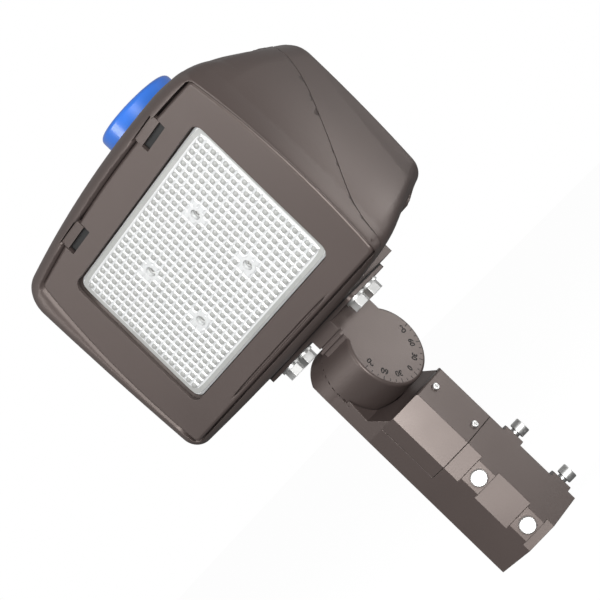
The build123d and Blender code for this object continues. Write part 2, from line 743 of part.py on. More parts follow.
with BuildPart() as main_housing:
    add(outer_form)
    add(seam_prism(0, 0), mode=Mode.SUBTRACT)
    add(tongue.part)
    add(plate.part)
    add(rear_space.part, mode=Mode.SUBTRACT)
    add(pillars.part)
    # Flat seat of the photocell in the far-end wall
    with BuildSketch(cell_plane(socket_pad_low_z)):
        Circle(socket_pad_r)
    extrude(amount=socket_pad_z - socket_pad_low_z)
    with BuildSketch(cell_plane(socket_pad_z)):
        Circle(cell_r + socket_scoop)
    extrude(amount=rim_far_mid_z - socket_pad_z, mode=Mode.SUBTRACT)
    with BuildSketch(cell_plane(socket_pad_low_z)):
        Circle(socket_body_r + running_fit)
    extrude(amount=rim_far_mid_z - socket_pad_z, mode=Mode.SUBTRACT)
    with BuildSketch(cell_plane(socket_pad_low_z)):
        Circle(socket_ring_r / cos(pi / 8) + part_gap)
    extrude(amount=-socket_depth / 2, mode=Mode.SUBTRACT)
    # Pad of the flange, with the wire way and the bolt threads
    with BuildSketch(Plane.XY.offset(pad_z)):
        with Locations((0, (pad_front_y + pad_back_y) / 2)):
            Rectangle(2 * pad_half_x, pad_back_y - pad_front_y)
    extrude(amount=pad_inner_z - pad_z)
    with BuildSketch(Plane.XY.offset(pad_z)):
        with Locations(((neck_x + disc_x) / 2, 0)):
            Circle(wire_hole_r)
    extrude(amount=pad_inner_z - pad_z, mode=Mode.SUBTRACT)
    with BuildSketch(Plane.XY.offset(pad_z)):
        with Locations(*bolt_places):
            Circle(bolt_r + screw_fit)
    extrude(amount=bolt_length + 1, mode=Mode.SUBTRACT)
    # Recess of the front frame, shallower along its near edge
    with BuildSketch(front_plane(recess_ledge_y)):
        add(frame_outline(frame_gap))
    extrude(amount=recess_ledge_y - 2 * rim_y, mode=Mode.SUBTRACT)
    with BuildSketch(front_plane(plate_front_y)):
        add(frame_outline(frame_gap))
        with Locations((0, recess_ledge_z / 2)):
            Rectangle(3 * rim_far_half, recess_ledge_z, mode=Mode.SUBTRACT)
    extrude(amount=plate_front_y - 2 * rim_y, mode=Mode.SUBTRACT)
    # Lens screw threads, hinge pin bores and latch pockets
    with BuildSketch(front_plane(plate_front_y)):
        with Locations(*lens_screw_places):
            Circle(lens_screw_r + screw_fit)
    extrude(amount=-lens_thread, mode=Mode.SUBTRACT)
    with BuildSketch(Plane.YZ.offset(-hinge_pin_outer_x - part_gap)):
        with Locations((hinge_y, hinge_z)):
            Circle(hinge_pin_r + running_fit)
    extrude(amount=2 * (hinge_pin_outer_x + part_gap), mode=Mode.SUBTRACT)
    with BuildSketch(front_plane(latch_plate_front_y + latch_slack)):
        with Locations(*((side * latch_x, latch_ledge_z - 5) for side in latch_sides)):
            Rectangle(latch_pad_w + 2 * latch_slack, 10)
    extrude(amount=-rim_y, mode=Mode.SUBTRACT)
    with BuildSketch(front_plane(latch_plate_front_y + latch_plate_t + latch_slack)):
        with Locations(*((side * latch_x, latch_tongue_z - 5 + latch_slack) for side in latch_sides)):
            Rectangle(2 * (latch_tongue_half + latch_slack), 10)
    extrude(amount=latch_plate_t + 2 * latch_slack, mode=Mode.SUBTRACT)
main_housing.part.label = "main_housing"
export_step(main_housing.part, "parts/main_housing.step")

# Rear cover: the shell behind the seam, with screw bosses and sunk seats
with BuildPart() as bosses:
    with BuildSketch(front_plane(pillar_top_y)):
        with Locations(*cover_bolt_places):
            Circle(pillar_r + 1)
    extrude(amount=pillar_top_y - crown_y)
    add(outer_form, mode=Mode.INTERSECT)

with BuildPart() as rear_cover:
    add(outer_form)
    add(seam_prism(part_gap, part_gap), mode=Mode.INTERSECT)
    add(cover_inner_form, mode=Mode.SUBTRACT)
    add(bosses.part)
    with BuildSketch(front_plane(cover_seat_y)):
        with Locations(*cover_bolt_places):
            Circle(cover_bolt_head_r + part_gap)
    extrude(amount=cover_seat_y - crown_y, mode=Mode.SUBTRACT)
    with BuildSketch(front_plane(pillar_top_y)):
        with Locations(*cover_bolt_places):
            Circle(cover_bolt_r + bolt_slack)
    extrude(amount=-boss_seat, mode=Mode.SUBTRACT)
    # Cut-out round the flange's pad
    with BuildSketch(Plane.XY.offset(rim_near_mid_z - 5)):
        with Locations((0, (rim_y + pad_back_y) / 2)):
            Rectangle(2 * (pad_half_x + part_gap), pad_back_y - rim_y + 2 * part_gap)
    extrude(amount=pad_inner_z - rim_near_mid_z + 5 + part_gap, mode=Mode.SUBTRACT)
rear_cover.part.label = "rear_cover"
export_step(rear_cover.part, "parts/rear_cover.step")

with BuildPart() as rear_cover_gasket:
    add(tongue_form)
    add(cavity_form, mode=Mode.SUBTRACT)
    add(seam_prism(seam_tongue, seam_tongue), mode=Mode.INTERSECT)
    add(seam_prism(seam_tongue + cover_seal_t, seam_tongue + cover_seal_t), mode=Mode.SUBTRACT)
    with BuildSketch(Plane.XY.offset(rim_near_mid_z - 5)):
        with Locations((0, (rim_y + pad_back_y) / 2)):
            Rectangle(2 * pad_half_x, pad_back_y - rim_y)
    extrude(amount=pad_inner_z - rim_near_mid_z + 5, mode=Mode.SUBTRACT)
rear_cover_gasket.part.label = "rear_cover_gasket"
export_step(rear_cover_gasket.part, "parts/rear_cover_gasket.step")

with BuildPart() as rear_cover_screws:
    with BuildSketch(front_plane(cover_seat_y)):
        with Locations(*cover_bolt_places):
            Circle(cover_bolt_head_r)
    extrude(amount=-cover_bolt_head_h)
    with BuildSketch(front_plane(cover_seat_y)):
        with Locations(*cover_bolt_places):
            Circle(cover_bolt_r)
    extrude(amount=cover_bolt_length)
    with BuildSketch(front_plane(cover_seat_y + cover_bolt_head_h)):
        with Locations(*cover_bolt_places):
            RegularPolygon(cover_bolt_head_r / 2, 6, major_radius=False)
    extrude(amount=cover_bolt_head_h / 2, mode=Mode.SUBTRACT)
rear_cover_screws.part.label = "rear_cover_screws"
export_step(rear_cover_screws.part, "parts/rear_cover_screws.step")

# Front frame: dished skin with a skirt, open round the lens and at the two latches
with BuildPart() as frame_hollow:
    with BuildSketch(front_plane(frame_back_y + 1)):
        add(frame_outline(-frame_skirt))
    extrude(amount=frame_back_y + 1 - 2 * rim_y)
    with BuildSketch(Plane.XY.offset(frame_near_z - frame_gap)):
        add(dished_band(frame_skin, frame_back_y + 1))
    extrude(amount=rim_far_mid_z - frame_near_z, mode=Mode.INTERSECT)

with BuildPart() as front_frame:
    with BuildSketch(front_plane(frame_back_y)):
        add(frame_outline(0))
    extrude(amount=frame_back_y - 2 * rim_y)
    with BuildSketch(Plane.XY.offset(frame_near_z - frame_gap)):
        add(dished_band(0, frame_back_y))
    extrude(amount=rim_far_mid_z - frame_near_z, mode=Mode.INTERSECT)
    near_edges = front_frame.edges().group_by(Axis.Z)[0]
    fillet(near_edges.sort_by(Axis.Y)[0], frame_edge_round)
    add(frame_hollow.part, mode=Mode.SUBTRACT)
    with BuildSketch(front_plane(frame_back_y + 1)):
        with Locations((0, lens_mid_z)):
            RectangleRounded(
                2 * (lens_half_x + lens_opening_gap),
                lens_height + 2 * lens_opening_gap,
                lens_corner_r + lens_opening_gap,
            )
    extrude(amount=frame_back_y + 1 - 2 * rim_y, mode=Mode.SUBTRACT)
    # Slot and notch of each latch, and the rails that guide its plate
    notch_h = rim_far_mid_z - latch_slot_low_z
    with BuildSketch(front_plane(frame_back_y + 1)):
        with Locations(*((side * latch_x, latch_slot_low_z + notch_h / 2) for side in latch_sides)):
            Rectangle(latch_pad_w + 2 * latch_slack, notch_h)
    extrude(amount=frame_back_y + 1 - 2 * rim_y, mode=Mode.SUBTRACT)
    with BuildSketch(front_plane(frame_back_y + 1)):
        with Locations(*((side * latch_x, latch_slot_low_z + notch_h / 2) for side in latch_sides)):
            Rectangle(2 * (latch_plate_half + latch_slack), notch_h)
    extrude(amount=frame_back_y + 1 - latch_plate_front_y + latch_slack, mode=Mode.SUBTRACT)
    with BuildSketch(front_plane(rail_back_y)):
        with Locations(*((x, (rail_low_z + rail_high_z) / 2) for x in rail_places)):
            Rectangle(rail_w, rail_high_z - rail_low_z)
    extrude(amount=rail_back_y - frame_mid_y - 1)
    # Bores of the hinge pins in the skirt
    with BuildSketch(Plane.YZ.offset(-frame_side_half)):
        with Locations((hinge_y, hinge_z)):
            Circle(hinge_pin_r + screw_fit)
    extrude(amount=2 * frame_side_half, mode=Mode.SUBTRACT)
front_frame.part.label = "front_frame"
export_step(front_frame.part, "parts/front_frame.step")

with BuildPart() as frame_hinge_pins:
    for side in latch_sides:
        with BuildSketch(Plane.YZ.offset(side * hinge_pin_inner_x)):
            with Locations((hinge_y, hinge_z)):
                Circle(hinge_pin_r)
        extrude(amount=side * (hinge_pin_outer_x - hinge_pin_inner_x))
frame_hinge_pins.part.label = "frame_hinge_pins"
export_step(frame_hinge_pins.part, "parts/frame_hinge_pins.step")

# Sliding latches: finger pad, wide plate behind the skin, tongue under the rim's ledge
for side, name in ((-1, "latch_left"), (1, "latch_right")):
    with BuildPart() as latch:
        with BuildSketch(front_plane(latch_plate_front_y)):
            with Locations((side * latch_x, (latch_pad_low_z + latch_pad_high_z) / 2)):
                Rectangle(latch_pad_w, latch_pad_high_z - latch_pad_low_z)
        extrude(amount=latch_plate_front_y - latch_pad_front_y)
        with BuildSketch(front_plane(latch_plate_front_y)):
            with Locations((side * latch_x, (latch_plate_low_z + latch_shoulder_z) / 2)):
                Rectangle(2 * latch_plate_half, latch_shoulder_z - latch_plate_low_z)
            with Locations((side * latch_x, (latch_plate_low_z + latch_tongue_z) / 2)):
                Rectangle(2 * latch_tongue_half, latch_tongue_z - latch_plate_low_z)
        extrude(amount=-latch_plate_t)
    latch.part.label = name
    export_step(latch.part, f"parts/{name}.step")

with BuildPart() as latch_retainers:
    with BuildSketch(front_plane(rail_back_y)):
        with Locations(*((side * latch_x, (rail_low_z + rail_high_z) / 2) for side in latch_sides)):
            Rectangle(2 * retainer_half, rail_high_z - rail_low_z)
    extrude(amount=-retainer_t)
latch_retainers.part.label = "latch_retainers"
export_step(latch_retainers.part, "parts/latch_retainers.step")

# Light engine: board and LED rows on the plate, gasket, moulded lens and its screws
with BuildPart() as led_board:
    with BuildSketch(front_plane(plate_front_y)):
        with Locations((0, lens_mid_z)):
            RectangleRounded(2 * board_half_x, 2 * board_half_z, 3)
        with Locations(*lens_screw_places):
            Circle(lens_screw_r + bolt_slack, mode=Mode.SUBTRACT)
    extrude(amount=lens_gasket_t)
led_board.part.label = "led_board"
export_step(led_board.part, "parts/led_board.step")

with BuildPart() as led_rows:
    with BuildSketch(front_plane(lens_back_y)):
        with Locations((0, lens_mid_z)):
            with GridLocations(0, dome_pitch_z, 1, dome_rows):
                Rectangle(2 * board_half_x - 4, led_strip_w)
        with Locations(*lens_screw_places):
            Circle(lens_boss_r + part_gap, mode=Mode.SUBTRACT)
    extrude(amount=led_strip_h)
led_rows.part.label = "led_rows"
export_step(led_rows.part, "parts/led_rows.step")

with BuildPart() as lens_gasket:
    with BuildSketch(front_plane(plate_front_y)):
        with Locations((0, lens_mid_z)):
            RectangleRounded(2 * lens_half_x, lens_height, lens_corner_r)
            RectangleRounded(
                2 * (lens_half_x - lens_gasket_w), lens_height - 2 * lens_gasket_w, 4, mode=Mode.SUBTRACT
            )
    extrude(amount=lens_gasket_t)
lens_gasket.part.label = "lens_gasket"
export_step(lens_gasket.part, "parts/lens_gasket.step")

with BuildPart() as lens:
    with BuildSketch(front_plane(lens_back_y)):
        with Locations((0, lens_mid_z)):
            RectangleRounded(2 * lens_half_x, lens_height, lens_corner_r)
    extrude(amount=lens_back_y - lens_front_y)
    chamfer(lens.faces().sort_by(Axis.Y)[0].edges(), lens_bevel)
    # Field of small domes: a raised slab, grooved both ways
    with BuildSketch(front_plane(lens_front_y)):
        with Locations((0, lens_mid_z)):
            Rectangle(dome_field_x, dome_field_z)
    extrude(amount=dome_rise)
    groove_top_y = lens_front_y - dome_rise
    with BuildSketch(Plane.XY.offset(lens_near_z)):
        with GridLocations(dome_pitch_x, 0, dome_columns + 1, 1):
            Polygon(
                (-dome_groove_w / 2, groove_top_y),
                (dome_groove_w / 2, groove_top_y),
                (0, lens_front_y),
                align=None,
            )
    extrude(amount=lens_height, mode=Mode.SUBTRACT)
    with BuildSketch(Plane.YZ.offset(-lens_half_x)):
        with Locations((0, lens_mid_z)):
            with GridLocations(0, dome_pitch_z, 1, dome_rows + 1):
                Polygon(
                    (groove_top_y, -dome_groove_w / 2),
                    (groove_top_y, dome_groove_w / 2),
                    (lens_front_y, 0),
                    align=None,
                )
    extrude(amount=2 * lens_half_x, mode=Mode.SUBTRACT)
    # Rings round the screws, and the hollow behind
    with BuildSketch(front_plane(lens_front_y)):
        with Locations(*lens_screw_places):
            Circle(lens_ring_r)
    extrude(amount=dome_rise)
    with BuildSketch(front_plane(lens_back_y)):
        with Locations((0, lens_mid_z)):
            RectangleRounded(2 * (lens_half_x - lens_wall), lens_height - 2 * lens_wall, 3)
        with Locations(*lens_screw_places):
            Circle(lens_boss_r, mode=Mode.SUBTRACT)
    extrude(amount=lens_back_y - lens_front_y - lens_skin, mode=Mode.SUBTRACT)
    with BuildSketch(front_plane(lens_screw_seat_y)):
        with Locations(*lens_screw_places):
            Circle(lens_screw_head_r + part_gap)
    extrude(amount=lens_screw_seat_y - groove_top_y, mode=Mode.SUBTRACT)
    with BuildSketch(front_plane(lens_back_y)):
        with Locations(*lens_screw_places):
            Circle(lens_screw_r + bolt_slack)
    extrude(amount=lens_back_y - lens_front_y, mode=Mode.SUBTRACT)
lens.part.label = "lens"
export_step(lens.part, "parts/lens.step")

with BuildPart() as lens_screws:
    with BuildSketch(front_plane(lens_screw_seat_y)):
        with Locations(*lens_screw_places):
            Circle(lens_screw_head_r)
    extrude(amount=lens_screw_head_h)
    with BuildSketch(front_plane(lens_screw_seat_y)):
        with Locations(*lens_screw_places):
            Circle(lens_screw_r)
    extrude(amount=lens_screw_seat_y - plate_front_y - lens_thread + 0.5)
    with BuildSketch(front_plane(lens_screw_seat_y - lens_screw_head_h)):
        with Locations(*lens_screw_places):
            RegularPolygon(lens_screw_head_r / 2, 6, major_radius=False)
    extrude(amount=-lens_screw_head_h / 2, mode=Mode.SUBTRACT)
lens_screws.part.label = "lens_screws"
export_step(lens_screws.part, "parts/lens_screws.step")

# Rear compartment: driver, surge protector and terminal block on the plate's back
with BuildPart() as led_driver:
    with BuildSketch(front_plane(plate_back_y)):
        with Locations((0, driver_z)):
            Rectangle(driver_size[0] + 4 * driver_tab, driver_size[2] / 2)
            with GridLocations(driver_size[0] + 2 * driver_tab, 0, 2, 1):
                Circle(driver_tab / 3, mode=Mode.SUBTRACT)
    extrude(amount=-driver_tab_t)
    with BuildSketch(front_plane(plate_back_y)):
        with Locations((0, driver_z)):
            RectangleRounded(driver_size[0], driver_size[2], 4)
    extrude(amount=-driver_size[1])
    chamfer(led_driver.faces().sort_by(Axis.Y)[-1].edges(), 2)
led_driver.part.label = "led_driver"
export_step(led_driver.part, "parts/led_driver.step")

with BuildPart() as surge_protector:
    with BuildSketch(front_plane(plate_back_y)):
        with Locations(surge_place):
            RectangleRounded(surge_size[0], surge_size[2], 3)
    extrude(amount=-surge_size[1])
surge_protector.part.label = "surge_protector"
export_step(surge_protector.part, "parts/surge_protector.step")

with BuildPart() as terminal_block:
    with BuildSketch(front_plane(plate_back_y)):
        with Locations(terminal_place):
            Rectangle(terminal_size[0], terminal_size[2])
    extrude(amount=-terminal_size[1])
    with BuildSketch(front_plane(plate_back_y + terminal_size[1])):
        with Locations(terminal_place):
            with GridLocations(terminal_size[0] / 5, 0, 5, 1):
                Circle(terminal_size[0] / 16)
    extrude(amount=terminal_size[1] / 2, mode=Mode.SUBTRACT)
terminal_block.part.label = "terminal_block"
export_step(terminal_block.part, "parts/terminal_block.step")

# Photocell receptacle: flange on the seat, turning body, retaining ring, arc slots
with BuildPart() as receptacle_gasket:
    with BuildSketch(cell_plane(socket_pad_z)):
        Circle(socket_r)
        Circle(socket_body_r + part_gap, mode=Mode.SUBTRACT)
    extrude(amount=cell_gasket_t)
receptacle_gasket.part.label = "receptacle_gasket"
export_step(receptacle_gasket.part, "parts/receptacle_gasket.step")

with BuildPart() as receptacle:
    with BuildSketch(cell_plane(socket_flange_z)):
        Circle(socket_r)
    extrude(amount=socket_flange_t)
    with BuildSketch(cell_plane(socket_flange_z)):
        Circle(socket_body_r)
    extrude(amount=-socket_depth)
    with BuildSketch(cell_plane(socket_flange_z + socket_flange_t)):
        for angle in blade_angles:
            add(arc_slot(angle + blade_turn / 2, blade_arc + blade_turn + slot_swing, slot_play))
    extrude(amount=-blade_length - slot_play, mode=Mode.SUBTRACT)
receptacle.part.label = "receptacle"
export_step(receptacle.part, "parts/receptacle.step")

with BuildPart() as receptacle_ring:
    with BuildSketch(cell_plane(socket_pad_low_z - part_gap)):
        RegularPolygon(socket_ring_r, 8, major_radius=False)
        Circle(socket_body_r + screw_fit, mode=Mode.SUBTRACT)
    extrude(amount=-socket_ring_t)
receptacle_ring.part.label = "receptacle_ring"
export_step(receptacle_ring.part, "parts/receptacle_ring.step")

# Photocell: blades, gasket, base with posts, sensor board and cap
with BuildPart() as photocell_gasket:
    with BuildSketch(cell_plane(cell_low_z)):
        Circle(socket_r - 1)
        Circle(2 * blade_r, mode=Mode.SUBTRACT)
    extrude(amount=socket_flange_z + socket_flange_t - cell_low_z)
photocell_gasket.part.label = "photocell_gasket"
export_step(photocell_gasket.part, "parts/photocell_gasket.step")

with BuildPart() as photocell_blades:
    with BuildSketch(cell_plane(cell_low_z)):
        for angle in blade_angles:
            add(arc_slot(angle, blade_arc, 0))
    extrude(amount=-blade_length)
photocell_blades.part.label = "photocell_blades"
export_step(photocell_blades.part, "parts/photocell_blades.step")

with BuildPart() as photocell_base:
    with BuildSketch(cell_plane(cell_low_z)):
        Circle(cell_r - cell_wall - part_gap)
    extrude(amount=cell_base_t)
    with BuildSketch(cell_plane(cell_low_z + cell_base_t)):
        with PolarLocations(cell_board_r - 2 * cell_post_r, 3):
            Circle(cell_post_r)
    extrude(amount=cell_post_h)
photocell_base.part.label = "photocell_base"
export_step(photocell_base.part, "parts/photocell_base.step")

with BuildPart() as photocell_board:
    with BuildSketch(cell_plane(cell_low_z + cell_base_t + cell_post_h)):
        Circle(cell_board_r)
    extrude(amount=cell_board_t)
photocell_board.part.label = "photocell_board"
export_step(photocell_board.part, "parts/photocell_board.step")

with BuildPart() as photocell_cap:
    with BuildSketch(cell_plane(cell_low_z)):
        Circle(cell_r)
    extrude(amount=cell_top_z - cell_low_z)
    fillet(photocell_cap.faces().sort_by(Axis.Z)[-1].edges(), cell_round)
    with BuildSketch(cell_plane(cell_low_z)):
        Circle(cell_r - cell_wall)
    extrude(amount=cell_top_z - cell_low_z - cell_wall - 1, mode=Mode.SUBTRACT)
photocell_cap.part.label = "photocell_cap"
export_step(photocell_cap.part, "parts/photocell_cap.step")
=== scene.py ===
import bpy
import bmesh
import json
import math
from mathutils import Matrix, Vector


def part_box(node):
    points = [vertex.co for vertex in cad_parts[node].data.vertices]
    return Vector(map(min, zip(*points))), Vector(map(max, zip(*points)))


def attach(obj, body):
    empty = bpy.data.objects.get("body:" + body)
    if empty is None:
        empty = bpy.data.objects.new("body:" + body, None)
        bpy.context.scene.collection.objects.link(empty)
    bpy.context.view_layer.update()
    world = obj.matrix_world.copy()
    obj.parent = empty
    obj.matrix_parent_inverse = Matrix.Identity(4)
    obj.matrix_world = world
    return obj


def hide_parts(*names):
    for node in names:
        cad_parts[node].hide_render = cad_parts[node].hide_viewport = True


# Looks of the floodlight: materials, the head's side wall, the lens's caps and band, the latch slots,
# the scale on the joint's disc, light and camera

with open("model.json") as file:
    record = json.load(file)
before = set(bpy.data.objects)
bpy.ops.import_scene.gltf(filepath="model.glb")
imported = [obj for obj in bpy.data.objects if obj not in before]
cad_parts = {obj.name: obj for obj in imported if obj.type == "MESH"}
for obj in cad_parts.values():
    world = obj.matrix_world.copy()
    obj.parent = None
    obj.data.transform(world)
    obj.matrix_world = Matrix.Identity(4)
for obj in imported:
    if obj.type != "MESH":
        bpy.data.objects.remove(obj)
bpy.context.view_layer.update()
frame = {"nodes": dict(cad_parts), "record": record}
nodes = frame["nodes"]
scene = bpy.context.scene

bronze_colour = (0.068, 0.052, 0.048)
steel_colour = (0.60, 0.60, 0.59)
blue_colour = (0.035, 0.19, 0.76)


# Material helpers
def new_material(name):
    material = bpy.data.materials.new(name)
    material.use_nodes = True
    tree = material.node_tree
    tree.nodes.clear()
    shader = tree.nodes.new("ShaderNodeBsdfPrincipled")
    output = tree.nodes.new("ShaderNodeOutputMaterial")
    tree.links.new(shader.outputs["BSDF"], output.inputs["Surface"])
    return material, tree, shader


def noise(tree, scale, detail=2.0, roughness=0.5, stretch=(1, 1, 1)):
    """A noise texture over the object's own coordinates, in metres."""
    place = tree.nodes.new("ShaderNodeTexCoord")
    mapping = tree.nodes.new("ShaderNodeMapping")
    mapping.inputs["Scale"].default_value = stretch
    texture = tree.nodes.new("ShaderNodeTexNoise")
    texture.inputs["Scale"].default_value = scale
    texture.inputs["Detail"].default_value = detail
    texture.inputs["Roughness"].default_value = roughness
    tree.links.new(place.outputs["Object"], mapping.inputs["Vector"])
    tree.links.new(mapping.outputs["Vector"], texture.inputs["Vector"])
    return texture.outputs["Fac"]


def spread(tree, fac, low, high, low_at=0.35, high_at=0.65):
    """Maps a noise to a range of values."""
    ramp = tree.nodes.new("ShaderNodeMapRange")
    ramp.inputs["From Min"].default_value = low_at
    ramp.inputs["From Max"].default_value = high_at
    ramp.inputs["To Min"].default_value = low
    ramp.inputs["To Max"].default_value = high
    tree.links.new(fac, ramp.inputs["Value"])
    return ramp.outputs["Result"]


def tinted(tree, fac, colour, low, high):
    """A colour that varies in brightness with a noise."""
    ramp = tree.nodes.new("ShaderNodeValToRGB")
    ramp.color_ramp.elements[0].position = 0.3
    ramp.color_ramp.elements[1].position = 0.7
    ramp.color_ramp.elements[0].color = (*(c * low for c in colour), 1)
    ramp.color_ramp.elements[1].color = (*(c * high for c in colour), 1)
    tree.links.new(fac, ramp.inputs["Fac"])
    return ramp.outputs["Color"]


def bumped(tree, shader, heights, edge_radius):
    """Soft edges, and one bump for each (fac, strength, distance)."""
    bevel = tree.nodes.new("ShaderNodeBevel")
    bevel.samples = 6
    bevel.inputs["Radius"].default_value = edge_radius
    normal = bevel.outputs["Normal"]
    for fac, strength, distance in heights:
        bump = tree.nodes.new("ShaderNodeBump")
        bump.inputs["Strength"].default_value = strength
        bump.inputs["Distance"].default_value = distance
        tree.links.new(fac, bump.inputs["Height"])
        tree.links.new(normal, bump.inputs["Normal"])
        normal = bump.outputs["Normal"]
    tree.links.new(normal, shader.inputs["Normal"])


def powder_coat(name, colour, edge_radius=0.0006):
    """Satin powder coat: orange peel, fine grain and a little handling shine."""
    material, tree, shader = new_material(name)
    peel = noise(tree, 900, 2.0)
    grain = noise(tree, 4200, 1.0)
    cloud = noise(tree, 9, 3.0)
    tree.links.new(tinted(tree, cloud, colour, 0.94, 1.06), shader.inputs["Base Color"])
    tree.links.new(spread(tree, cloud, 0.40, 0.48), shader.inputs["Roughness"])
    shader.inputs["IOR"].default_value = 1.65
    shader.inputs["Specular Tint"].default_value = (1.0, 0.87, 0.81, 1.0)
    bumped(tree, shader, ((peel, 0.18, 0.0002), (grain, 0.10, 0.00006)), edge_radius)
    return material


def metal(name, colour, low, high, stretch=(1, 1, 1), edge_radius=0.0003):
    """Plated or machined metal with turning marks along one direction."""
    material, tree, shader = new_material(name)
    marks = noise(tree, 700, 3.0, 0.6, stretch)
    smear = noise(tree, 60, 2.0)
    tree.links.new(tinted(tree, smear, colour, 0.9, 1.08), shader.inputs["Base Color"])
    tree.links.new(spread(tree, marks, low, high), shader.inputs["Roughness"])
    shader.inputs["Metallic"].default_value = 1.0
    bumped(tree, shader, ((marks, 0.04, 0.00004),), edge_radius)
    return material


def moulded(name, colour, low, high, peel_strength=0.08, edge_radius=0.0004, coat=0.0):
    """Moulded plastic or rubber with a faint mould texture."""
    material, tree, shader = new_material(name)
    cloud = noise(tree, 25, 3.0)
    grain = noise(tree, 2600, 2.0)
    tree.links.new(tinted(tree, cloud, colour, 0.93, 1.05), shader.inputs["Base Color"])
    tree.links.new(spread(tree, cloud, low, high), shader.inputs["Roughness"])
    shader.inputs["Coat Weight"].default_value = coat
    bumped(tree, shader, ((grain, peel_strength, 0.0001),), edge_radius)
    return material


bronze = powder_coat("bronze_powder_coat", bronze_colour)
steel = metal("plated_steel", steel_colour, 0.40, 0.52)
rubber = moulded("black_rubber", (0.012, 0.012, 0.012), 0.55, 0.7, 0.15)
board_white = moulded("solder_mask_white", (0.72, 0.72, 0.70), 0.35, 0.45)
phosphor = moulded("phosphor_yellow", (0.72, 0.55, 0.12), 0.35, 0.5)
driver_metal = metal("driver_aluminium", (0.62, 0.62, 0.63), 0.32, 0.46, (1, 1, 12))
black_plastic = moulded("black_moulding", (0.018, 0.018, 0.019), 0.42, 0.55)
grey_block = moulded("grey_potting", (0.10, 0.10, 0.11), 0.4, 0.55)
terminal_white = moulded("terminal_moulding", (0.55, 0.54, 0.50), 0.35, 0.5)
blue_plastic = moulded("blue_moulding", blue_colour, 0.28, 0.36, 0.05, 0.0005, 0.25)
brass = metal("plated_brass", (0.62, 0.44, 0.18), 0.22, 0.34)
green_board = moulded("green_solder_mask", (0.012, 0.10, 0.035), 0.3, 0.4)

finishes = {
    "bronze_casting": bronze,
    "steel": steel,
    "rubber": rubber,
    "board": board_white,
    "led": phosphor,
    "driver": driver_metal,
    "black_plastic": black_plastic,
    "surge": grey_block,
    "terminal": terminal_white,
    "blue_plastic": blue_plastic,
    "brass": brass,
    "green_board": green_board,
}
slots = {entry["node"]: entry["material_slot"] for entry in frame["record"]["subparts"]}
for name, node in nodes.items():
    if slots[name] in finishes:
        for index in range(len(node.material_slots)):
            node.material_slots[index].material = finishes[slots[name]]


def add_piece(form, name, material, body, smooth=False):
    """Makes a piece of the visual model out of a bmesh."""
    mesh = bpy.data.meshes.new(name)
    form.to_mesh(mesh)
    form.free()
    for face in mesh.polygons:
        face.use_smooth = smooth
    mesh.materials.append(material)
    piece = bpy.data.objects.new(name, mesh)
    scene.collection.objects.link(piece)
    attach(piece, body)
    return piece


# The head's side towards +X: its wall starts at the front frame's edge, as the photograph shows it
millimetre = 0.001
rim_y, taper_y, back_y = -53.0, -35.0, 76.0
centre_z = 330.0
rim_depth, anchor_depth = 9.0, 15.0
blend_low_x, blend_high_x = 90.0, 118.0
cut_low_x, cut_step_y, cut_step_z = 0.09, 0.004, 0.006
sharp_angle = math.radians(28)


class Outline:
    """Half of the head's outline across Y: three shallow arcs with rounded corners."""

    def __init__(self, near, side, far, near_mid_z, far_mid_z, near_power, far_power, rises=(0.0, 0.0)):
        self.near, self.side, self.far = near, side, far
        self.near_mid_z, self.far_mid_z = near_mid_z, far_mid_z
        self.near_power, self.far_power = near_power, far_power
        self.near_rise, self.far_rise = rises

    def side_x(self, z):
        total = 0.0
        points = (self.near, self.side, self.far)
        for i, (x, own_z) in enumerate(points):
            weight = 1.0
            for j, (_, other_z) in enumerate(points):
                if j != i:
                    weight *= (z - other_z) / (own_z - other_z)
            total += x * weight
        return total

    def end_z(self, x, corner, mid_z, rise=0.0):
        """The near or far end's place along Z, with a rise that grows towards the corner."""
        share = x / corner[0]
        return mid_z + (corner[1] - mid_z) * share ** 2 + rise * share ** 4

    def reach(self, angle):
        """Distance from the centre to the outline in a direction."""
        c, s = max(math.cos(angle), 0.05), math.sin(angle)
        corner, mid_z = (self.far, self.far_mid_z) if s > 0 else (self.near, self.near_mid_z)
        power = self.far_power if s > 0 else self.near_power
        rise = self.far_rise if s > 0 else self.near_rise
        side = self.side[0]
        end = abs(mid_z - centre_z)
        for _ in range(5):
            z = min(max(centre_z + side * s, self.near[1]), self.far[1])
            side = self.side_x(z) / c
            x = min(end * c / max(abs(s), 0.05), corner[0])
            end = abs(self.end_z(x, corner, mid_z, rise) - centre_z)
        end /= max(abs(s), 0.05)
        return (side ** -power + end ** -power) ** (-1 / power)


def cad_outline(y):
    """The outline that the castings have at a depth."""
    taper = min(max((y - taper_y) / (back_y - taper_y), 0.0), 1.0)
    near = (157.0 - 26.0 * taper, 233.0 + 24.0 * taper)
    far = (168.5 - 32.6 * taper, 424.0 - 30.0 * taper)
    side = (164.8 - 28.4 * taper, centre_z)
    return Outline(near, side, far, 229.8 + 16.0 * taper, 434.0 - 34.0 * taper, 20.0, 12.0)


def wall_outline(y):
    """The outline that the wall has when it starts at the frame's edge."""
    cad = cad_outline(y)
    depth = y - rim_y
    near = (145.6 - 0.0006 * depth ** 2, cad.near[1])
    side = (150.2 - 0.00064 * depth ** 2, 312.0)
    far_x = 139.9 + 0.1655 * depth - 0.00142 * depth ** 2
    far = (far_x, cad.end_z(far_x, cad.far, cad.far_mid_z))
    far_power = 12.0 + 8.0 * max(0.0, 1 - depth / 35.0)
    part = max(depth, 0.0) / (back_y - rim_y)
    near_rise = 3.0 * 4 * part * (1 - part)
    far_rise = -4.0 * 4 * math.sqrt(part) * (1 - math.sqrt(part))
    rises = (near_rise, far_rise)
    return Outline(near, side, far, cad.near_mid_z, cad.far_mid_z, 25.0, far_power, rises)


